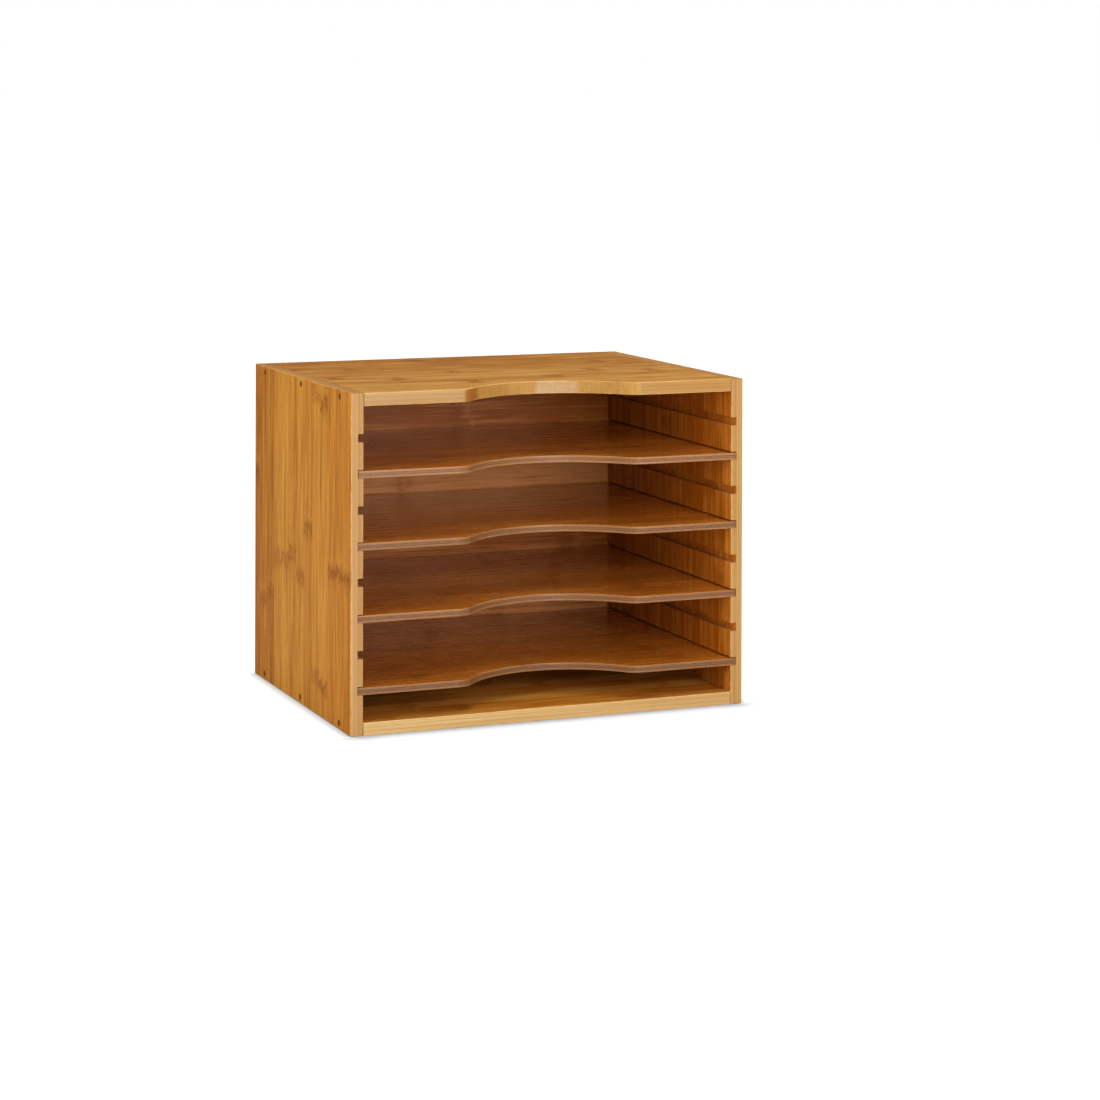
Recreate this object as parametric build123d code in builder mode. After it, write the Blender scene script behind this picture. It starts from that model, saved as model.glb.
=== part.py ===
from build123d import *
import os

# A desk letter tray of laminated bamboo board. Two grooved side panels, a top, a bottom and a back are
# glued and pinned into an open-fronted case, and four loose shelves slide in the grooves.
# Frame: millimetres, +Z up, the open front faces -Y, and the origin is on the desk below the case's centre.

# Case
case_width = 330
case_depth = 250
case_height = 260
panel_thickness = 10
back_thickness = 8

# Shelf grooves, spaced evenly up the inner face of each side panel
groove_count = 8
groove_height = 6.5
groove_depth = 4.5

# Shelves, highest first, and the groove that each one lies in, counted from the lowest
shelf_grooves = {"shelf_1": 6, "shelf_2": 4, "shelf_3": 2, "shelf_4": 0}
shelf_thickness = 5.5
shelf_side_gap = 0.5
shelf_back_gap = 1
shelf_running_gap = 0.1

# Finger cut-out in the front edge of the top panel and of each shelf: a shallow arc with rounded shoulders
finger_chord = 139
finger_depth = 36
finger_shoulder_radius = 16

# Corner joint pins, three to a joint
pin_radius = 2.5
pin_length = 30
pin_pitch = 97.5
pin_count = 3
pin_glue_gap = 0.05
pin_end_gap = 1

# Sanded edges
panel_edge_radius = 0.7
joint_edge_radius = 0.35
shelf_edge_radius = 0.4
pin_edge_radius = 0.25

# Worked out from the above
inner_width = case_width - 2 * panel_thickness
inner_height = case_height - 2 * panel_thickness
inner_depth = case_depth - back_thickness
groove_pitch = (inner_height + groove_height) / (groove_count + 1)
front_y = -case_depth / 2
shelf_width = inner_width + 2 * groove_depth - 2 * shelf_side_gap
shelf_depth = inner_depth - shelf_back_gap
finger_radius = (finger_chord**2 / 4 + finger_depth**2) / (2 * finger_depth)
pin_hole_radius = pin_radius + pin_glue_gap
pin_hole_depth = pin_length - panel_thickness + pin_end_gap
top_joint_z = case_height - panel_thickness / 2
bottom_joint_z = panel_thickness / 2


def board_outline(width, depth, has_finger_cut):
    """A board seen from above, centred on X with its front edge on the case's front plane."""
    with BuildSketch() as outline:
        with Locations((0, front_y)):
            Rectangle(width, depth, align=(Align.CENTER, Align.MIN))
        if has_finger_cut:
            with Locations((0, front_y + finger_depth - finger_radius)):
                Circle(finger_radius, mode=Mode.SUBTRACT)
            shoulders = outline.vertices().group_by(Axis.Y)[0].sort_by(Axis.X)[1:-1]
            fillet(shoulders, radius=finger_shoulder_radius)
    return outline.sketch


def side_panel(side):
    """A full-height side panel with grooves and pin holes. side is -1 for the left, +1 for the right."""
    inner_x = side * inner_width / 2
    with BuildPart() as panel:
        with BuildSketch(Plane.YZ.offset(inner_x)):
            with Locations((0, case_height / 2)):
                Rectangle(case_depth, case_height)
        extrude(amount=side * panel_thickness)
        fillet(panel.edges(), radius=panel_edge_radius)
        with BuildSketch(Plane.XZ.offset(-front_y)):
            with Locations((inner_x, case_height / 2)):
                with GridLocations(0, groove_pitch, 1, groove_count):
                    Rectangle(2 * groove_depth, groove_height)
        extrude(amount=-inner_depth, mode=Mode.SUBTRACT)
        with BuildSketch(Plane.YZ.offset(inner_x)):
            with Locations((0, bottom_joint_z), (0, top_joint_z)):
                with GridLocations(pin_pitch, 0, pin_count, 1):
                    Circle(pin_hole_radius)
        extrude(amount=side * panel_thickness, mode=Mode.SUBTRACT)
    return panel


def lying_panel(bottom_z, has_finger_cut):
    """A top or bottom panel, which fits between the side panels and takes pins in both ends."""
    with BuildPart() as panel:
        with BuildSketch(Plane.XY.offset(bottom_z)):
            add(board_outline(inner_width, case_depth, has_finger_cut))
        extrude(amount=panel_thickness)
        rims = panel.faces().filter_by(Axis.Z).edges()
        end_rims = rims.filter_by(Axis.Y)
        fillet(rims - end_rims, radius=panel_edge_radius)
        fillet(panel.faces().filter_by(Axis.X).edges().filter_by(Axis.Y), radius=joint_edge_radius)
        for side in (-1, 1):
            with BuildSketch(Plane.YZ.offset(side * inner_width / 2)):
                with Locations((0, bottom_z + panel_thickness / 2)):
                    with GridLocations(pin_pitch, 0, pin_count, 1):
                        Circle(pin_hole_radius)
            extrude(amount=-side * pin_hole_depth, mode=Mode.SUBTRACT)
    return panel


def back_board():
    """The back panel, glued between the other four and flush with their rear edges."""
    with BuildPart() as panel:
        with BuildSketch(Plane.XZ.offset(front_y)):
            with Locations((0, case_height / 2)):
                Rectangle(inner_width, inner_height)
        extrude(amount=back_thickness)
        fillet(panel.faces().sort_by(Axis.Y)[-1].edges(), radius=joint_edge_radius)
    return panel


def shelf(groove_number):
    """A loose shelf that lies on the floors of one pair of grooves. Groove 0 is the lowest."""
    groove_floor_z = panel_thickness + (groove_number + 1) * groove_pitch - groove_height
    with BuildPart() as board:
        with BuildSketch(Plane.XY.offset(groove_floor_z + shelf_running_gap)):
            add(board_outline(shelf_width, shelf_depth, True))
        extrude(amount=shelf_thickness)
        fillet(board.faces().filter_by(Axis.Z).edges(), radius=shelf_edge_radius)
    return board


def pin_row(side, joint_z):
    """The three pins of one corner joint, flush with the outer face of the side panel."""
    with BuildPart() as pins:
        with BuildSketch(Plane.YZ.offset(side * case_width / 2)):
            with Locations((0, joint_z)):
                with GridLocations(pin_pitch, 0, pin_count, 1):
                    Circle(pin_radius)
        extrude(amount=-side * pin_length)
        fillet(pins.edges().filter_by(GeomType.CIRCLE), radius=pin_edge_radius)
    return pins


def save(piece, name):
    """Labels a finished piece and writes it to its own file."""
    piece.part.label = name
    export_step(piece.part, f"parts/{name}.step")


os.makedirs("parts", exist_ok=True)
for side, side_name in ((-1, "left"), (1, "right")):
    save(side_panel(side), f"{side_name}_side_panel")
    save(pin_row(side, top_joint_z), f"{side_name}_top_pins")
    save(pin_row(side, bottom_joint_z), f"{side_name}_bottom_pins")
save(lying_panel(case_height - panel_thickness, True), "top_panel")
save(lying_panel(0, False), "bottom_panel")
save(back_board(), "back_panel")
for shelf_name, groove_number in shelf_grooves.items():
    save(shelf(groove_number), shelf_name)
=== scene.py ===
import math
import random

import bmesh
import bpy
from mathutils import Matrix, Vector


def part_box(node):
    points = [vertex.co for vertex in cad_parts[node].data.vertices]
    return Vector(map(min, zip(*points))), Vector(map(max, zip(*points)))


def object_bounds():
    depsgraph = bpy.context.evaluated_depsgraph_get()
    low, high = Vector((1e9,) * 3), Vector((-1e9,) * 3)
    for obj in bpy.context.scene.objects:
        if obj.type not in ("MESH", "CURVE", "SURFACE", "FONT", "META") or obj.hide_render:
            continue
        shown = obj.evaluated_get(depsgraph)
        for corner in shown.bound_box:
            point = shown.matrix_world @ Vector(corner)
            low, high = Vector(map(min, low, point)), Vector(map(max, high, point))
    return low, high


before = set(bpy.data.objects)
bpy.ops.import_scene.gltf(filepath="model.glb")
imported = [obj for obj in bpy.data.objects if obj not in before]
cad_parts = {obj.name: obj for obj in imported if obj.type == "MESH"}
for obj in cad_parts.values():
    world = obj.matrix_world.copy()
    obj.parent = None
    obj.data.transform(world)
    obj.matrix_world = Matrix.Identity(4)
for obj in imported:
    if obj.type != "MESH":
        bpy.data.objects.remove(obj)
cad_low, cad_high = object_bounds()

# The looks of a bamboo letter tray: a lacquered case of laminated bamboo board, four glossy bamboo
# shelves and the dark pins of its corner joints. Shapes come from the frame, and this script gives them
# their wood, light and camera. Everything is in metres, in the frame's own axes: X to the right, the
# open front faces -Y, Z up.

MM = 0.001
X, Y, Z = 0, 1, 2

# Wood colours, linear RGB
HONEY_DARK = (0.36, 0.102, 0.002)
HONEY_LIGHT = (0.68, 0.315, 0.036)
HONEY_PALE = (0.59, 0.307, 0.062)
HONEY_ORANGE = (0.62, 0.207, 0.009)
# Painted light: the back's paler wood on its inner face, for the light and sheen on the compartments' back
# wall
BACK_PAINTED_LIGHT = (0.78, 0.405, 0.098)
SHELF_LIGHT = (0.67, 0.230, 0.040)
KNUCKLE_BROWN = (0.30, 0.075, 0.001)
EDGE_TAN = (0.49, 0.295, 0.118)
EDGE_LINE = (0.34, 0.165, 0.045)
# Pale wood for the worn arrises, which also serves as a painted highlight on them
WORN_HIGHLIGHT_PALE = (0.74, 0.48, 0.20)
END_GRAIN = (0.36, 0.155, 0.030)
END_PALE = (0.54, 0.260, 0.062)
# Painted light: the floors of the grooves, an even tan for the light they catch
GROOVE_LIT_TAN = (0.47, 0.215, 0.055)
PLY_DARK = (0.165, 0.068, 0.022)
PLY_LIGHT = (0.31, 0.150, 0.060)
BLOCK_BROWN = (0.30, 0.105, 0.010)
BLOCK_AMBER = (0.41, 0.210, 0.045)
BLOCK_STRAW = (0.46, 0.245, 0.058)
BLOCK_PALE = (0.49, 0.335, 0.195)
BLOCK_OLIVE = (0.435, 0.255, 0.066)
BLOCK_TAN = (0.50, 0.30, 0.088)
# Painted shade for the crevices where the boards meet
JOINT_SHADE = (0.10, 0.045, 0.015)
PIN_DARK = (0.07, 0.018, 0.002)
PIN_LIGHT = (0.19, 0.060, 0.009)

# Tints, which multiply a colour: none, painted shade on a board's inner side, and painted light on the sawn
# edges behind the middle
PLAIN = (1, 1, 1)
INNER_SHADE_TINT = (1.03, 0.93, 1.35)
# Painted light: the sawn edges behind the middle are brightened, as less light falls at the rear
REAR_EDGE_PAINTED_LIGHT = (1.50, 1.30, 0.85)

# How a bamboo board is laid up. The knuckles of one strip are INTERNODE apart, a strip sawn thinner than
# SLIVER of its width is left out, and glue lines stay within GLUE_REACH of the thickness from the middle
STRIP_WIDTH = 20 * MM
SLIVER = 0.01
INTERNODE = 222 * MM
SEAM_WIDTH = 0.35 * MM
LAYERS = 3
GLUE_CORE = 0.05 * MM
GLUE_WIDTH = 0.28 * MM
PLY_GLUE_WIDTH = 0.5 * MM
GLUE_REACH = 0.4

# Ranges that a strip's tone, knuckle darkness and orange are drawn from
TONES = (0.25, 0.8)
KNUCKLE_DARKS = (0.35, 0.9)
ORANGES = (0.1, 0.7)

# Steps that keep the noise of neighbouring strips and of different boards apart
STRIP_SHIFT = 1.37
SEED_SHIFT = 0.731
LAYER_SHIFT = 7.3

# Fibres: length along the board, width across it, and octaves of noise
SWEEP = (170 * MM, 6 * MM, 2)
STREAK = (60 * MM, 2.2 * MM, 3)
THREAD_LENGTH = 36 * MM
THREAD_WIDTH = 0.8 * MM
VESSEL = (5 * MM, 0.32 * MM, 1)
EDGE_STREAK = (90 * MM, 0.9 * MM, 3)
LAYER_LENGTH = 130 * MM

# What full gloss does to the grain: longer and fainter threads, less contrast, and closed pores
GLOSS_STRETCH = 30 * MM
GLOSS_THREAD_LOSS = 0.5
GLOSS_CONTRAST_LOSS = 0.45
GLOSS_PORE_LOSS = 0.75

# How deep each kind of fibre colours the wood, and where the vessels' noise turns into dark and pale dashes
SWEEP_DEPTH = 1.1
STREAK_DEPTH = 2.0
THREAD_DEPTH = 1.3
DASH_RANGE = (0.60, 0.74)
DASH_DEPTH = 0.22
PALE_DASH_RANGE = (0.40, 0.26)
PALE_DASH_DEPTH = 0.10
SEAM_DEPTH = 0.22
ORANGE_SHARE = 0.6
# Painted shade: how much darker a board's strips are on its inner side, which faces the compartments
INNER_SHADE_DROP = 0.3

# Knuckles: how far their line wanders, and the widths and strengths of what makes one up
SWIRL_LENGTH = 14 * MM
SWIRL_WIDTH = 8 * MM
SWIRL_REACH = 22 * MM
JITTER = (9 * MM, 1.4 * MM, 1)
JITTER_REACH = 2.5 * MM
RAGGED = (5 * MM, 2.2 * MM, 2)
BLOTCH_RANGE = (0.42, 0.62)
BLOTCH_WIDTH = 5.5 * MM
BLOTCH_DEPTH = 0.72
UPPER_LINE = (3.2 * MM, 1.2 * MM)
LOWER_LINE = (-3.0 * MM, 1.4 * MM)
LOWER_LINE_RANGE = (0.36, 0.52)
LINE_DEPTH = 0.45
HALO_WIDTH = 10 * MM
HALO_DEPTH = 0.30
PALE_BAND = (11 * MM, 4 * MM)
PALE_BAND_DEPTH = 0.35

# A case board's long edges: how much each thing lightens or darkens them
EDGE_STREAK_DEPTH = 1.1
EDGE_LAYER_DEPTH = 0.6
EDGE_TONE_DEPTH = 0.8
EDGE_DROP = 0.25
EDGE_GLUE_DEPTH = 0.35

# A shelf's long edges: the speckles' length, width and height, and their depth in the skins and the core
SPECKLE = (3.5 * MM, 1.2 * MM, 0.5 * MM)
SKIN_SPECKLE_DEPTH = 1.4
CORE_SPECKLE_DEPTH = 1.6
CORE_LIGHTNESS = 0.15
PLY_GLUE_DEPTH = 0.5

# The blocks let into a cut edge: how soft their sides are, and the fibres that stand upright in them
BLOCK_SOFTNESS = 2 * MM
BLOCK_WANDER = 6 * MM
BLOCK_COVER = 0.9
BLOCK_BRIGHTNESS = 0.475
BLOCK_STREAK_DEPTH = 0.5
UPRIGHT_WIDTH = 2.6 * MM
UPRIGHT_LENGTH = 25 * MM
UPRIGHT_DEPTH = 0.55

# A board's ends: their pores, and how far from the end the colour turns into that of a groove's floor, an
# even tan that is painted light
PORES = (2 * MM, 0.6 * MM, 0.6 * MM)
PORE_RANGE = (0.34, 0.66)
END_TONE_DEPTH = 0.6
END_REACH = (3 * MM, 6 * MM)

# How squarely a surface has to face an axis to be the board's face, its end, or the rounding between
FACE_RANGE = (0.55, 0.80)
END_RANGE = (0.80, 0.95)
ARRIS_START = (0.12, 0.35)
ARRIS_END = (0.90, 0.985)

# Painted shade in the joints at a board's ends, and the pale wear and painted highlight on its arrises
JOINT_SHADE_REACH = (0.25 * MM, 0.6 * MM)
JOINT_SHADE_DEPTH = 0.85
# Wear and painted highlight: patches of the arrises turn pale
WEAR_HIGHLIGHT_SIZE = 9 * MM
WEAR_HIGHLIGHT_RANGE = (0.30, 0.60)
WEAR_HIGHLIGHT_DEPTH = 0.45
PLY_WEAR_HIGHLIGHT_DEPTH = 0.05

# The lacquer: each value without gloss, and what full gloss adds to it
ROUGHNESS = (0.40, -0.14)
SPECULAR = (0.20, 0.10)
COAT_WEIGHT = (0.05, 0.60)
COAT_ROUGHNESS = (0.25, -0.12)
COAT_IOR = 1.5
WOOD_IOR = 1.48

# What makes the lacquer rougher, and the heights that its bumps are made of
STREAK_ROUGHNESS = 0.16
DASH_ROUGHNESS = 0.10
EDGE_ROUGHNESS = 0.12
WORN_ROUGHNESS = 0.12
STREAK_HEIGHT = 0.5
THREAD_HEIGHT = 0.35
DASH_HEIGHT = -0.5
KNUCKLE_HEIGHT = -0.8
SEAM_HEIGHT = -0.9
GLUE_HEIGHT = -0.8
BUMP_STRENGTH = 0.35
BUMP_DISTANCE = 0.12 * MM

# The pins' wood: waves of grain to the metre along X, Y and Z, and of blotches
PIN_GRAIN = (60.0, 1500.0, 1500.0)
PIN_BLOTCH = 400.0
PIN_GRAIN_DEPTH = 0.7
PIN_BLOTCH_DEPTH = 0.3
PIN_ROUGHNESS = 0.45
PIN_GRAIN_ROUGHNESS = 0.25
PIN_SPECULAR = 0.12
PIN_BUMP_STRENGTH = 0.5
PIN_BUMP_DISTANCE = 0.15 * MM

# The pale floor, whose contact shadow is wider and darker in front of the object
FLOOR_RADIUS = 30
FLOOR_CORNERS = 96
SHADOW_REACH = 10 * MM
SHADOW_SAMPLES = 16
FRONT_RANGE = (1 * MM, -4 * MM)
FRONT_SHADOW_REACH = 14 * MM
FRONT_SHADOW_POWER = 0.8
FLOOR_LIT = (0.86, 0.86, 0.87)
FLOOR_MIRRORED = (0.16, 0.16, 0.16)
FLOOR_SEEN = (0.12, 0.12, 0.12)

# The studio room round the object, as it lights the object and as its surfaces mirror it
ROOM_LIT = (0.44, 0.44, 0.445)
ROOM_BEHIND = (0.07, 0.07, 0.07)
ROOM_IN_FRONT = (0.40, 0.39, 0.38)
ROOM_RANGE = (-0.5, 0.6)
WHITE = (1.0, 1.0, 1.0)

# Lights: name, position, width, height, power in watts, and whether a glossy surface mirrors it
LAMP_COLOUR = (1.0, 0.985, 0.96)
LAMPS = (
    ("key_light", (0.3, -2.6, 0.8), 1.3, 1.2, 50, True),
    ("left_light", (-2.1, -1.1, 0.9), 1.3, 1.4, 24, False),
    ("right_light", (2.2, 0.5, 1.1), 1.3, 1.4, 18, False),
    ("rear_light", (0.8, 2.4, 0.9), 1.4, 1.4, 24, False),
    ("top_light", (0.0, -0.6, 2.4), 2.0, 2.0, 25, False),
)

# Camera: angles in degrees, lens and sensor in millimetres, the nearest and farthest it sees in metres, and
# the lens shift as shares of the picture
CAMERA_PLACE = (-0.84157, -2.11915, 0.48639)
CAMERA_YAW = 21.682
CAMERA_PITCH = 0.400
CAMERA_ROLL = 0.171
CAMERA_LENS = 91.183
CAMERA_SENSOR = 36
CAMERA_REACH = (0.05, 100)
CAMERA_SHIFTS = (("shift_x", 0.04984), ("shift_y", -0.39660))
SAME_PLACE = 0.001


class Shader:
    """Adds nodes to one node tree and joins them, so that a material reads like a formula."""

    def __init__(self, tree):
        self.tree = tree
        tree.nodes.clear()

    def node(self, kind, inputs=None, **settings):
        made = self.tree.nodes.new(kind)
        for key, value in settings.items():
            setattr(made, key, value)
        for key, value in (inputs or {}).items():
            self.feed(made.inputs[key], value)
        return made

    def feed(self, socket, value):
        if isinstance(value, bpy.types.NodeSocket):
            self.tree.links.new(value, socket)
        elif isinstance(value, tuple) and socket.type == "RGBA" and len(value) == 3:
            socket.default_value = (*value, 1)
        else:
            socket.default_value = value

    def show(self, kind, socket):
        """Ends the tree in an output node of this kind."""
        self.node(kind, {0: socket})

    def math(self, operation, *values):
        return self.node("ShaderNodeMath", dict(enumerate(values)), operation=operation).outputs[0]

    def add(self, first, *others):
        for other in others:
            first = self.math("ADD", first, other)
        return first

    def less(self, a, b):
        return self.math("SUBTRACT", a, b)

    def times(self, a, b):
        return self.math("MULTIPLY", a, b)

    def over(self, a, b):
        return self.math("DIVIDE", a, b)

    def size(self, value):
        return self.math("ABSOLUTE", value)

    def swing(self, noise, amount):
        """A noise between 0 and 1, taken about its middle and scaled."""
        return self.times(self.less(noise, 0.5), amount)

    def faded(self, share, depth):
        """1 where share is 0, falling by depth where it is 1."""
        return self.less(1.0, self.times(share, depth))

    def bell(self, distance, width):
        """1 at distance 0, falling smoothly to nothing a few widths away."""
        share = self.over(distance, width)
        return self.math("EXPONENT", self.times(self.times(share, share), -1.0))

    def step(self, value, low, high):
        """0 below low, 1 above high, smooth between."""
        made = self.node("ShaderNodeMapRange", {"Value": value, "From Min": low, "From Max": high},
                         interpolation_type="SMOOTHSTEP")
        return made.outputs["Result"]

    def ramp(self, value, low, high):
        """0 below low, 1 above high, straight between."""
        made = self.node("ShaderNodeMapRange", {"Value": value, "From Min": low, "From Max": high})
        return made.outputs["Result"]

    def mix(self, share, a, b, blend="MIX"):
        made = self.node("ShaderNodeMix", data_type="RGBA", blend_type=blend, clamp_factor=True)
        self.feed(made.inputs[0], share)
        self.feed(made.inputs[6], a)
        self.feed(made.inputs[7], b)
        return made.outputs[2]

    def tint(self, a, b):
        """Two colours multiplied."""
        return self.mix(1.0, a, b, "MULTIPLY")

    def shade(self, colour, amount):
        """colour made brighter or darker by a factor."""
        made = self.node("ShaderNodeVectorMath", {0: colour}, operation="SCALE")
        self.feed(made.inputs["Scale"], amount)
        return made.outputs[0]

    def vector(self, x, y, z):
        return self.node("ShaderNodeCombineXYZ", {0: x, 1: y, 2: z}).outputs[0]

    def noise(self, vector, detail=2.0):
        made = self.node("ShaderNodeTexNoise", {"Vector": vector, "Scale": 1.0, "Detail": detail,
                                                "Roughness": 0.5})
        return made.outputs[0]

    def coordinates(self, kind):
        """The point's own coordinates of this kind, and their three parts."""
        place = self.node("ShaderNodeTexCoord").outputs[kind]
        return place, self.node("ShaderNodeSeparateXYZ", {0: place}).outputs


def ramp_of_rows(shader, share, rows):
    """Looks a row of four numbers between 0 and 1 up by share, which runs from 0 to 1 over the rows."""
    ramp = shader.node("ShaderNodeValToRGB", {0: share})
    ramp.color_ramp.interpolation = "CONSTANT"
    elements = ramp.color_ramp.elements
    while len(elements) > 1:
        elements.remove(elements[-1])
    for number, row in enumerate(rows):
        element = elements[0] if number == 0 else elements.new(number / len(rows))
        element.position = number / len(rows)
        element.color = row
    split = shader.node("ShaderNodeSeparateColor", {0: ramp.outputs[0]})
    return split.outputs[0], split.outputs[1], split.outputs[2], ramp.outputs[1]


def new_material(name):
    material = bpy.data.materials.new(name)
    material.use_nodes = True
    return material


class Board(Shader):
    """The wood of one laminated bamboo board, in the board's own directions: u runs along its fibres, v
    across its strips from its low side, and w through its thickness from its middle."""

    def __init__(self, tree, node, along, across, seed, first_cut, strips, coarse, ply, gloss, inward,
                 inner_shade_drop):
        super().__init__(tree)
        self.along = along
        self.through = 3 - along - across
        self.ply = ply
        self.gloss = gloss
        self.open_pores = 1.0 - GLOSS_PORE_LOSS * gloss
        low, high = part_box(node)
        self.length = high[along] - low[along]
        self.thickness = high[self.through] - low[self.through]
        self.place, self.axes = self.coordinates("Object")
        self.u = self.less(self.axes[along], low[along])
        self.v = self.add(self.less(self.axes[across], low[across]), first_cut)
        self.w = self.less(self.axes[self.through], (low[self.through] + high[self.through]) / 2)
        self.lay_strips(seed, strips or {}, high[across] - low[across] + first_cut)
        self.inner = None
        # Painted shade: the strips on the board's inner side are made darker
        if inward:
            self.inner = self.math("GREATER_THAN", self.times(self.w, inward), 0.0)
            self.tone = self.less(self.tone, self.times(self.inner, inner_shade_drop))
        self.sweep = self.fibre(SWEEP, coarse)
        self.streak = self.fibre(STREAK, coarse)
        self.thread = self.fibre((THREAD_LENGTH + GLOSS_STRETCH * gloss, THREAD_WIDTH, 2), coarse)
        self.vessel = self.fibre(VESSEL)
        self.dash = self.step(self.vessel, *DASH_RANGE)
        self.knuckle, self.pale_band = self.knuckles()
        self.glue = self.glue_lines()
        self.edge_streak = self.fibre(EDGE_STREAK)
        self.from_end = self.less(self.length / 2, self.size(self.less(self.u, self.length / 2)))

    def lay_strips(self, seed, strips, width):
        """Gives every strip its tone, knuckle place, knuckle darkness and orange, drawn unless strips has
        them, and finds them for the strip that a point lies in."""
        draw = random.Random(seed)
        rows = []
        for number in range(math.ceil(width / STRIP_WIDTH - SLIVER)):
            tone = draw.uniform(*TONES)
            knuckle = draw.uniform(0, INTERNODE)
            dark = draw.uniform(*KNUCKLE_DARKS)
            orange = draw.uniform(*ORANGES)
            if number in strips:
                tone, knuckle, dark, orange = strips[number]
            rows.append((tone, (knuckle % INTERNODE) / INTERNODE, dark, orange))
        laid = self.over(self.v, STRIP_WIDTH)
        strip = self.math("FLOOR", laid)
        share = self.over(self.add(strip, 0.5), len(rows))
        self.tone, self.phase, self.dark, self.orange = ramp_of_rows(self, share, rows)
        self.shift = self.add(self.times(strip, STRIP_SHIFT), seed * SEED_SHIFT)
        in_strip = self.less(laid, strip)
        from_seam = self.times(self.less(0.5, self.size(self.less(in_strip, 0.5))), STRIP_WIDTH)
        self.seam = self.less(1.0, self.step(from_seam, 0.0, SEAM_WIDTH))

    def fibre(self, grain, coarse=1.0):
        """Noise drawn out along the board. Every strip has its own."""
        length, width, octaves = grain
        width = width * coarse
        along = self.add(self.over(self.u, length), self.shift)
        through = self.add(self.over(self.w, width), self.shift)
        return self.noise(self.vector(along, self.over(self.v, width), through), octaves)

    def grains(self, size):
        """Noise in grains of this size along u, v and w, which takes no heed of the strips."""
        return self.noise(self.vector(self.over(self.u, size[0]), self.over(self.v, size[1]),
                                      self.over(self.w, size[2])))

    def knuckles(self):
        """How strongly a point lies in a knuckle, where a stem's joint crosses the strip, and how strongly in
        the pale band beside it."""
        turns = self.less(self.over(self.u, INTERNODE), self.phase)
        straight = self.times(self.less(self.math("FRACT", self.add(turns, 0.5)), 0.5), INTERNODE)
        swirl = self.noise(self.vector(self.add(self.over(self.u, SWIRL_LENGTH), self.shift),
                                       self.over(self.v, SWIRL_WIDTH), self.shift))
        off = self.add(straight, self.swing(swirl, SWIRL_REACH), self.swing(self.fibre(JITTER), JITTER_REACH))
        ragged = self.fibre(RAGGED)
        blotch = self.times(self.step(ragged, *BLOTCH_RANGE), self.bell(off, BLOTCH_WIDTH))
        upper_line = self.bell(self.less(off, UPPER_LINE[0]), UPPER_LINE[1])
        lower_line = self.bell(self.less(off, LOWER_LINE[0]), LOWER_LINE[1])
        lower_line = self.times(lower_line, self.step(ragged, *LOWER_LINE_RANGE))
        knuckle = self.add(self.times(blotch, BLOTCH_DEPTH),
                           self.times(self.add(upper_line, lower_line), LINE_DEPTH),
                           self.times(self.bell(off, HALO_WIDTH), HALO_DEPTH))
        pale_band = self.bell(self.less(off, PALE_BAND[0]), PALE_BAND[1])
        pale_band = self.times(pale_band, self.times(self.dark, PALE_BAND_DEPTH))
        return self.times(self.dark, knuckle), pale_band

    def glue_lines(self):
        """The lines between the layers that the board is pressed from, as its long edges show them."""
        layer_height = self.thickness / LAYERS
        self.layer = self.over(self.add(self.w, self.thickness / 2), layer_height)
        from_whole = self.size(self.less(self.math("FRACT", self.add(self.layer, 0.5)), 0.5))
        from_glue = self.times(from_whole, layer_height)
        glue = self.less(1.0, self.step(from_glue, GLUE_CORE, PLY_GLUE_WIDTH if self.ply else GLUE_WIDTH))
        inside = self.math("LESS_THAN", self.size(self.w), self.thickness * GLUE_REACH)
        return self.times(glue, inside)

    def face_colour(self, light, contrast):
        """The board's two broad faces: fibres, the vessels' dashes, knuckles and seams, and painted shade on
        the inner side.
        """
        if self.inner is not None:
            light = self.mix(self.inner, HONEY_LIGHT, light)
        contrast = contrast * (1.0 - GLOSS_CONTRAST_LOSS * self.gloss)
        thread_depth = THREAD_DEPTH - GLOSS_THREAD_LOSS * self.gloss
        lightness = self.add(self.tone, self.swing(self.sweep, SWEEP_DEPTH * contrast),
                             self.swing(self.streak, STREAK_DEPTH * contrast),
                             self.swing(self.thread, thread_depth * contrast))
        face = self.mix(lightness, HONEY_DARK, light)
        orange_face = self.mix(lightness, HONEY_DARK, HONEY_ORANGE)
        face = self.mix(self.times(self.orange, ORANGE_SHARE), face, orange_face)
        face = self.mix(self.pale_band, face, light)
        if self.inner is not None:
            # Painted shade: the inner side takes the tint of the wood in the compartments' shade
            face = self.mix(self.inner, face, self.tint(face, INNER_SHADE_TINT))
        pale_dash = self.step(self.vessel, *PALE_DASH_RANGE)
        face = self.shade(face, self.faded(self.dash, DASH_DEPTH * self.open_pores))
        face = self.shade(face, self.add(1.0, self.times(pale_dash, PALE_DASH_DEPTH * self.open_pores)))
        face = self.mix(self.knuckle, face, KNUCKLE_BROWN)
        return self.shade(face, self.faded(self.seam, SEAM_DEPTH))

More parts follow.
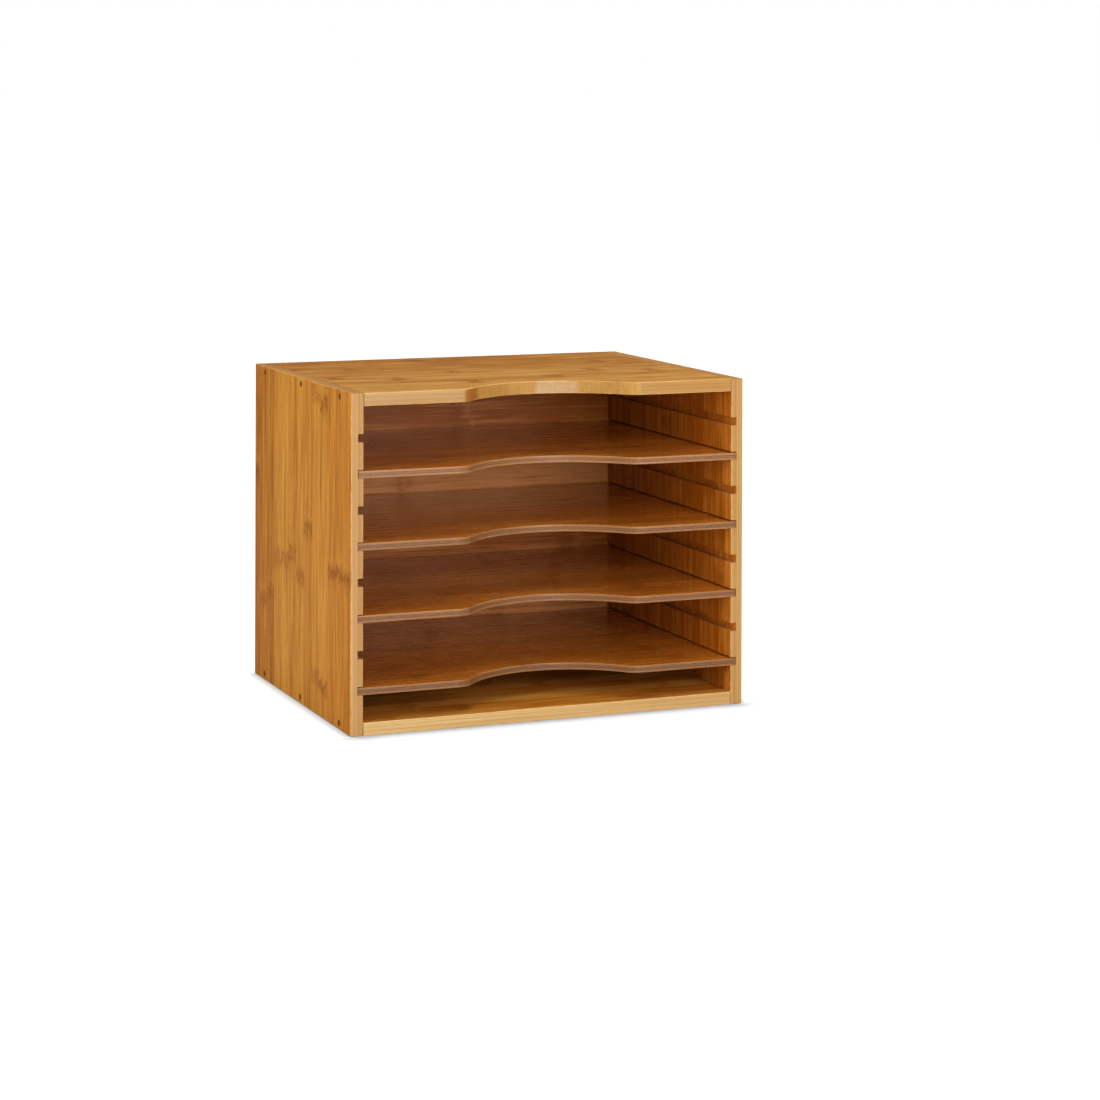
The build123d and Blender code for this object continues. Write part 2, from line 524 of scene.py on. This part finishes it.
    def edge_colour(self, edge_tints, patches):
        """The board's long edges, which show its layers in a case board and speckled ply in a shelf, with
        painted light in
        their tints: changing from left to right, and brighter behind the middle.
        """
        layer_shift = self.times(self.math("FLOOR", self.layer), LAYER_SHIFT)
        layer_tone = self.noise(self.vector(layer_shift, self.shift, self.over(self.u, LAYER_LENGTH)), 1)
        edge_light = self.add(self.times(self.edge_streak, EDGE_STREAK_DEPTH),
                              self.times(layer_tone, EDGE_LAYER_DEPTH), -EDGE_DROP)
        if self.ply:
            speckle = self.grains(SPECKLE)
            skin = self.add(edge_light, self.swing(speckle, SKIN_SPECKLE_DEPTH))
            skin = self.mix(skin, PLY_DARK, PLY_LIGHT)
            core = self.add(CORE_LIGHTNESS, self.swing(speckle, CORE_SPECKLE_DEPTH))
            core = self.mix(core, PLY_DARK, PLY_LIGHT)
            in_core = self.math("LESS_THAN", self.size(self.w), self.thickness / (2 * LAYERS))
            edge = self.shade(self.mix(in_core, skin, core), self.faded(self.glue, PLY_GLUE_DEPTH))
        else:
            edge_light = self.add(edge_light, self.swing(self.tone, EDGE_TONE_DEPTH))
            edge = self.mix(edge_light, EDGE_LINE, EDGE_TAN)
            edge = self.shade(edge, self.faded(self.glue, EDGE_GLUE_DEPTH))
        if patches:
            edge = self.let_in(edge, patches)
        # Painted light: the edges turn from paler at the case's left to darker and more saturated at its
        # right
        tint = self.mix(self.ramp(self.axes[X], cad_low.x, cad_high.x), *edge_tints)
        # Painted light: the edges behind the middle are brighter
        tint = self.mix(self.math("GREATER_THAN", self.axes[Y], 0.0), tint, REAR_EDGE_PAINTED_LIGHT)
        return self.tint(edge, tint)

    def let_in(self, edge, patches):
        """edge with blocks of other colours let into its front, whose fibres stand upright."""
        upright = self.noise(self.vector(self.over(self.axes[X], UPRIGHT_WIDTH),
                                         self.over(self.w, UPRIGHT_LENGTH), 0.0), 3)
        grain = self.add(self.times(self.edge_streak, BLOCK_STREAK_DEPTH),
                         self.times(upright, UPRIGHT_DEPTH))
        grain = self.add(BLOCK_BRIGHTNESS, grain)
        beside = self.add(self.axes[X], self.swing(self.edge_streak, BLOCK_WANDER))
        in_front = self.math("LESS_THAN", self.axes[Y], 0.0)
        for start, end, colour in patches:
            after_start = self.step(beside, start - BLOCK_SOFTNESS, start + BLOCK_SOFTNESS)
            before_end = self.step(beside, end + BLOCK_SOFTNESS, end - BLOCK_SOFTNESS)
            inside = self.times(self.times(after_start, before_end), in_front)
            edge = self.mix(self.times(inside, BLOCK_COVER), edge, self.shade(colour, grain))
        return edge

    def end_colour(self):
        """The board's ends, which show cut fibres, and the floors of its grooves, painted an even tan for the
        light they catch.
        """
        pores = self.step(self.grains(PORES), *PORE_RANGE)
        end = self.mix(self.add(pores, self.swing(self.tone, END_TONE_DEPTH)), END_GRAIN, END_PALE)
        return self.mix(self.step(self.from_end, *END_REACH), end, GROOVE_LIT_TAN)

    def glossed(self, value):
        """A value of the lacquer at this board's gloss."""
        plain, added = value
        return plain + added * self.gloss

    def lacquer(self, face, edge, end, shaded_joint):
        """Puts the colours on the sides they belong to, paints shade into the joints, paints the arrises pale
        as wear and highlight, and finishes the wood with its lacquer, rougher over the dashes and edges."""
        normal = self.coordinates("Normal")[1]
        through_face = self.size(normal[self.through])
        is_face = self.step(through_face, *FACE_RANGE)
        is_end = self.step(self.size(normal[self.along]), *END_RANGE)
        colour = self.mix(is_face, self.mix(is_end, edge, end), face)
        if shaded_joint:
            # Painted shade: a dark line in the crevice where the board's end meets the next board
            in_joint_shade = self.less(1.0, self.step(self.from_end, *JOINT_SHADE_REACH))
            colour = self.mix(self.times(in_joint_shade, JOINT_SHADE_DEPTH), colour, JOINT_SHADE)
        arris = self.less(1.0, self.step(through_face, *ARRIS_END))
        arris = self.times(self.step(through_face, *ARRIS_START), arris)
        # Wear and painted highlight: patches of the rounded arrises turn pale
        wear_highlight_noise = self.noise(self.shade(self.place, 1 / WEAR_HIGHLIGHT_SIZE), 3)
        worn_highlight = self.times(arris, self.step(wear_highlight_noise, *WEAR_HIGHLIGHT_RANGE))
        wear_highlight_depth = PLY_WEAR_HIGHLIGHT_DEPTH if self.ply else WEAR_HIGHLIGHT_DEPTH
        colour = self.mix(self.times(worn_highlight, wear_highlight_depth), colour, WORN_HIGHLIGHT_PALE)

        off_face = self.less(1.0, is_face)
        rough = self.add(self.glossed(ROUGHNESS), self.swing(self.streak, STREAK_ROUGHNESS),
                         self.times(self.dash, DASH_ROUGHNESS * self.open_pores),
                         self.times(off_face, EDGE_ROUGHNESS), self.times(worn_highlight, WORN_ROUGHNESS))
        height = self.add(self.times(self.streak, STREAK_HEIGHT * self.open_pores),
                          self.times(self.thread, THREAD_HEIGHT * self.open_pores),
                          self.times(self.dash, DASH_HEIGHT * self.open_pores),
                          self.times(self.knuckle, KNUCKLE_HEIGHT), self.times(self.seam, SEAM_HEIGHT),
                          self.times(self.times(self.glue, off_face), GLUE_HEIGHT))
        bump = self.node("ShaderNodeBump", {
            "Height": height, "Strength": BUMP_STRENGTH, "Distance": BUMP_DISTANCE})
        principled = self.node("ShaderNodeBsdfPrincipled", {
            "Base Color": colour, "Roughness": rough, "Normal": bump.outputs[0], "IOR": WOOD_IOR,
            "Specular IOR Level": self.glossed(SPECULAR), "Coat Weight": self.glossed(COAT_WEIGHT),
            "Coat Roughness": self.glossed(COAT_ROUGHNESS), "Coat IOR": COAT_IOR})
        self.show("ShaderNodeOutputMaterial", principled.outputs[0])


def bamboo(name, node, along, across, seed, first_cut=0.0, strips=None, light=HONEY_LIGHT, coarse=1.0,
           contrast=1.0, ply=False, gloss=0.0, edge_tints=(PLAIN, PLAIN), patches=(), shaded_joint=False,
           inward=0, inner_shade_drop=INNER_SHADE_DROP):
    """A laminated bamboo board. along is the axis of its fibres, across the axis its strips are laid in,
    and first_cut how much of the first strip is sawn away.
    strips gives, strip by strip from the low side, (tone, knuckle place, knuckle darkness, orange).
    coarse widens the streaks of the grain, and contrast deepens them. ply is the darker edge of a pressed
    shelf board. gloss goes from the case's satin at 0 to the shelves' lacquer at 1.
    edge_tints multiply the colour of the long edges at the case's left and right, painting light on them.
    patches are blocks of other colours let into those edges at the front: (from, to, colour). joint paints
    shade into the joints at the board's ends.
    inward is the sign of the board's inner side, which gets painted shade: its strips are darker by the inner
    drop and tinted, and its pale wood is light's colour. Its outer side is as pale as the rest of the case."""
    material = new_material(name)
    board = Board(material.node_tree, node, along, across, seed, first_cut, strips, coarse, ply, gloss,
                  inward, inner_shade_drop)
    face = board.face_colour(light, contrast)
    board.lacquer(face, board.edge_colour(edge_tints, patches), board.end_colour(), shaded_joint)
    return material


def pin_wood():
    """The dark, mottled wood of a pin's end."""
    material = new_material("pin_wood")
    s = Shader(material.node_tree)
    place = s.coordinates("Object")[0]
    stretched = s.node("ShaderNodeVectorMath", {0: place, 1: PIN_GRAIN}, operation="MULTIPLY")
    grain = s.noise(stretched.outputs[0], 3)
    blotch = s.noise(s.shade(place, PIN_BLOTCH))
    lightness = s.add(s.times(grain, PIN_GRAIN_DEPTH), s.times(blotch, PIN_BLOTCH_DEPTH))
    colour = s.mix(lightness, PIN_DARK, PIN_LIGHT)
    rough = s.add(PIN_ROUGHNESS, s.times(grain, PIN_GRAIN_ROUGHNESS))
    bump = s.node("ShaderNodeBump", {
        "Height": grain, "Strength": PIN_BUMP_STRENGTH, "Distance": PIN_BUMP_DISTANCE})
    principled = s.node("ShaderNodeBsdfPrincipled", {
        "Base Color": colour, "Roughness": rough, "Normal": bump.outputs[0],
        "Specular IOR Level": PIN_SPECULAR})
    s.show("ShaderNodeOutputMaterial", principled.outputs[0])
    return material


def dress(node, material):
    """Gives a CAD node this material and no other."""
    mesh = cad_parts[node].data
    mesh.materials.clear()
    mesh.materials.append(material)


def make_floor():
    """A large pale floor that reads as white, with only a thin contact shadow round the object."""
    mesh = bpy.data.meshes.new("floor")
    shape = bmesh.new()
    bmesh.ops.create_circle(shape, cap_ends=True, segments=FLOOR_CORNERS, radius=FLOOR_RADIUS)
    shape.to_mesh(mesh)
    shape.free()
    floor = bpy.data.objects.new("floor", mesh)
    floor.location = (0, 0, cad_low.z)
    bpy.context.scene.collection.objects.link(floor)
    material = new_material("floor_white")
    s = Shader(material.node_tree)
    rays = s.node("ShaderNodeLightPath").outputs
    in_front = s.step(s.coordinates("Object")[1][Y], *(cad_low.y + edge for edge in FRONT_RANGE))
    reach = s.add(SHADOW_REACH, s.times(in_front, FRONT_SHADOW_REACH))
    occlusion = s.node("ShaderNodeAmbientOcclusion", {"Distance": reach}, samples=SHADOW_SAMPLES)
    power = s.add(1.0, s.times(in_front, FRONT_SHADOW_POWER))
    open_share = s.math("POWER", occlusion.outputs["AO"], power)
    open_share = s.mix(rays["Is Camera Ray"], WHITE, open_share)
    pale = s.mix(rays["Is Glossy Ray"], FLOOR_LIT, FLOOR_MIRRORED)
    pale = s.mix(rays["Is Camera Ray"], pale, FLOOR_SEEN)
    diffuse = s.node("ShaderNodeBsdfDiffuse", {"Color": s.tint(pale, open_share)})
    glow = s.node("ShaderNodeEmission", {"Color": open_share, "Strength": rays["Is Camera Ray"]})
    both = s.node("ShaderNodeAddShader", {0: diffuse.outputs[0], 1: glow.outputs[0]})
    s.show("ShaderNodeOutputMaterial", both.outputs[0])
    mesh.materials.append(material)


def make_world():
    """White to the camera, and a soft studio room to everything else, darker behind in reflections."""
    world = bpy.data.worlds.new("studio")
    bpy.context.scene.world = world
    world.use_nodes = True
    s = Shader(world.node_tree)
    rays = s.node("ShaderNodeLightPath").outputs
    towards_front = s.times(s.coordinates("Generated")[1][Y], -1.0)
    mirrored = s.mix(s.step(towards_front, *ROOM_RANGE), ROOM_BEHIND, ROOM_IN_FRONT)
    seen = s.mix(rays["Is Glossy Ray"], ROOM_LIT, mirrored)
    seen = s.mix(rays["Is Camera Ray"], seen, WHITE)
    room = s.node("ShaderNodeBackground", {"Color": seen, "Strength": 1.0})
    s.show("ShaderNodeOutputWorld", room.outputs[0])


def softbox(name, position, target, width, height, power, mirrored):
    """A broad rectangular light facing target."""
    data = bpy.data.lights.new(name, "AREA")
    data.shape = "RECTANGLE"
    data.size = width
    data.size_y = height
    data.energy = power
    data.color = LAMP_COLOUR
    lamp = bpy.data.objects.new(name, data)
    lamp.location = position
    lamp.rotation_euler = (target - Vector(position)).to_track_quat("-Z", "Y").to_euler()
    lamp.visible_camera = False
    lamp.visible_glossy = mirrored
    bpy.context.scene.collection.objects.link(lamp)


def make_camera():
    """A long lens held level, with its view shifted down onto the object as a studio view camera does.
    The shift belongs to this viewpoint: drivers drop it when the camera is moved somewhere else."""
    data = bpy.data.cameras.new("camera")
    camera = bpy.data.objects.new("camera", data)
    bpy.context.scene.collection.objects.link(camera)
    data.sensor_width = CAMERA_SENSOR
    data.lens = CAMERA_LENS
    data.clip_start, data.clip_end = CAMERA_REACH
    yaw, pitch, roll = (math.radians(angle) for angle in (CAMERA_YAW, CAMERA_PITCH, CAMERA_ROLL))
    forward = (math.sin(yaw) * math.cos(pitch), math.cos(yaw) * math.cos(pitch), -math.sin(pitch))
    forward = Vector(forward)
    level = Vector((math.cos(yaw), -math.sin(yaw), 0))
    upward = level.cross(forward)
    right = level * math.cos(roll) + upward * math.sin(roll)
    up = upward * math.cos(roll) - level * math.sin(roll)
    camera.rotation_euler = Matrix((right, up, -forward)).transposed().to_euler()
    camera.location = CAMERA_PLACE
    for channel, amount in CAMERA_SHIFTS:
        driver = data.driver_add(channel).driver
        driver.type = "SCRIPTED"
        variable = driver.variables.new()
        variable.name = "y"
        variable.type = "SINGLE_PROP"
        variable.targets[0].id = camera
        variable.targets[0].data_path = "location[1]"
        driver.expression = f"{amount} if abs(y - {camera.location.y:.5f}) < {SAME_PLACE} else 0.0"
    bpy.context.scene.camera = camera


# Strips of the left side, from the front edge back: tone, knuckle height, knuckle darkness, orange
LEFT_STRIPS = {
    0: (0.57, 117 * MM, 0.75, 0.85), 1: (0.54, 118 * MM, 0.85, 0.75), 2: (0.55, 116 * MM, 0.8, 0.7),
    3: (0.66, 24 * MM, 0.75, 0.3), 4: (0.69, 29 * MM, 0.55, 0.3), 5: (0.59, 142 * MM, 0.8, 0.35),
    6: (0.70, 101 * MM, 0.6, 0.35), 7: (0.57, 116 * MM, 0.55, 0.35), 8: (0.77, 109 * MM, 0.6, 0.15),
    9: (0.66, 107 * MM, 0.5, 0.25), 10: (0.40, 76 * MM, 0.55, 0.7), 11: (0.42, 65 * MM, 0.5, 0.7),
    12: (0.22, 170 * MM, 0.9, 0.7),
}
# The right side's strips, from the front edge back: their tones, and the rise from one knuckle to the next
RIGHT_TONES = (0.85, 0.52, 0.62, 0.35, 0.50, 0.62, 0.45, 0.68, 0.55, 0.72, 0.60, 0.75, 0.65)
RIGHT_FIRST_KNUCKLE = 31 * MM
RIGHT_KNUCKLE_RISE = 67 * MM
RIGHT_KNUCKLE_DARK = 0.6
RIGHT_ORANGE = 0.6
RIGHT_STRIPS = {
    number: (tone, RIGHT_FIRST_KNUCKLE + RIGHT_KNUCKLE_RISE * number, RIGHT_KNUCKLE_DARK, RIGHT_ORANGE)
    for number, tone in enumerate(RIGHT_TONES)
}
# Strips of the top, from the front edge back, which grow darker to the rear: painted light and sheen that
# fall most on the front. The big knuckles' places are along X in millimetres, and the other strips have faint
# ones, each a step further on
TOP_KNUCKLES = {2: -47, 3: 30, 4: 126, 5: -142, 6: -34, 8: 115, 11: -29}
TOP_KNUCKLE_DARK = 0.85
TOP_FAINT_START = 60
TOP_FAINT_STEP = 31
TOP_FAINT_DARK = 0.3
TOP_STRIP_COUNT = 13
TOP_FRONT_TONE = 0.78
TOP_SHEEN_DROP = 0.045
TOP_TONE_SPREAD = 0.16
TOP_ORANGES = (0.0, 0.2)
TOP_SEED = 5
top_draw = random.Random(TOP_SEED)
top_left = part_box("top_panel")[0].x
TOP_STRIPS = {}
for number in range(TOP_STRIP_COUNT):
    place = TOP_KNUCKLES.get(number, TOP_FAINT_START + TOP_FAINT_STEP * number) * MM - top_left
    dark = TOP_KNUCKLE_DARK if number in TOP_KNUCKLES else TOP_FAINT_DARK
    spread = top_draw.uniform(-TOP_TONE_SPREAD, TOP_TONE_SPREAD)
    # Painted light: each strip further back is darker
    tone = TOP_FRONT_TONE - TOP_SHEEN_DROP * number + spread
    TOP_STRIPS[number] = (tone, place, dark, top_draw.uniform(*TOP_ORANGES))
# Some of the back's strips, counted from the bottom up, whose tones paint light and shade on both its faces:
# the highest four are the darkest, painted shade in the top compartment, and the lowest two are lighter,
# painted light in the one below
BACK_STRIPS = {
    7: (0.95, 120 * MM, 0.4, 0.5), 8: (0.6, 45 * MM, 0.5, 0.6), 9: (0.15, 169 * MM, 0.6, 0.8),
    10: (0.0, 168 * MM, 0.7, 0.8), 11: (0.05, 80 * MM, 0.5, 0.8), 12: (0.1, 20 * MM, 0.5, 0.8),
}

# Tints of the sawn edges at the case's left and right, whose change from left to right is painted light, and
# of each shelf's edge
SIDE_EDGES = ((0.90, 0.87, 0.82), (0.81, 0.75, 0.59))
TOP_EDGES = ((0.80, 0.78, 0.81), (0.76, 0.64, 0.38))
BOTTOM_EDGES = ((1.12, 1.30, 1.40), (1.02, 1.08, 1.08))
# Painted shade: a shelf's edge is darker the lower the shelf sits
SHELF_EDGE_SHADES = {1: (1.15, 1.12, 1.06), 2: (0.99, 0.94, 0.86), 3: (0.99, 0.93, 0.87), 4: (0.91, 0.87, 0.80)}
# Blocks let into the top's front edge, side by side: from, to, colour
CUT_PATCHES = (
    (-72 * MM, -56 * MM, BLOCK_BROWN), (-56 * MM, -22 * MM, BLOCK_AMBER), (-22 * MM, 1 * MM, BLOCK_STRAW),
    (1 * MM, 34 * MM, BLOCK_PALE), (34 * MM, 62 * MM, BLOCK_OLIVE), (62 * MM, 76 * MM, BLOCK_TAN),
)

dress("left_side_panel", bamboo(
    "bamboo_left", "left_side_panel", along=Z, across=Y, seed=1, first_cut=4 * MM, strips=LEFT_STRIPS,
    inward=1, edge_tints=SIDE_EDGES))
dress("right_side_panel", bamboo(
    "bamboo_right", "right_side_panel", along=Z, across=Y, seed=2, first_cut=9 * MM, strips=RIGHT_STRIPS,
    inward=-1, contrast=1.1, edge_tints=SIDE_EDGES))
dress("top_panel", bamboo(
    "bamboo_top", "top_panel", along=X, across=Y, seed=3, strips=TOP_STRIPS, light=HONEY_PALE, coarse=1.8,
    contrast=1.35, edge_tints=TOP_EDGES, patches=CUT_PATCHES, shaded_joint=True))
dress("bottom_panel", bamboo(
    "bamboo_bottom", "bottom_panel", along=X, across=Y, seed=4, first_cut=6 * MM, light=HONEY_PALE,
    coarse=1.6, edge_tints=BOTTOM_EDGES, shaded_joint=True))
# The back's inner face takes painted light in its paler wood, and its strips take painted light and shade
dress("back_panel", bamboo(
    "bamboo_back", "back_panel", along=X, across=Z, seed=5, first_cut=3 * MM, strips=BACK_STRIPS,
    light=BACK_PAINTED_LIGHT, gloss=0.05, inward=-1, inner_shade_drop=0.0))
for number, tint in SHELF_EDGE_SHADES.items():
    shelf = f"shelf_{number}"
    dress(shelf, bamboo(
        f"bamboo_{shelf}", shelf, along=X, across=Y, seed=10 + number, first_cut=5 * MM, light=SHELF_LIGHT,
        ply=True, gloss=1.0, edge_tints=(tint, tint)))
pin_material = pin_wood()
for node in ("left_top_pins", "left_bottom_pins", "right_top_pins", "right_bottom_pins"):
    dress(node, pin_material)

make_floor()
make_world()
middle = (cad_low + cad_high) / 2
for name, position, width, height, power, mirrored in LAMPS:
    softbox(name, position, middle, width, height, power, mirrored)
make_camera()
bpy.context.scene.view_settings.view_transform = "Standard"
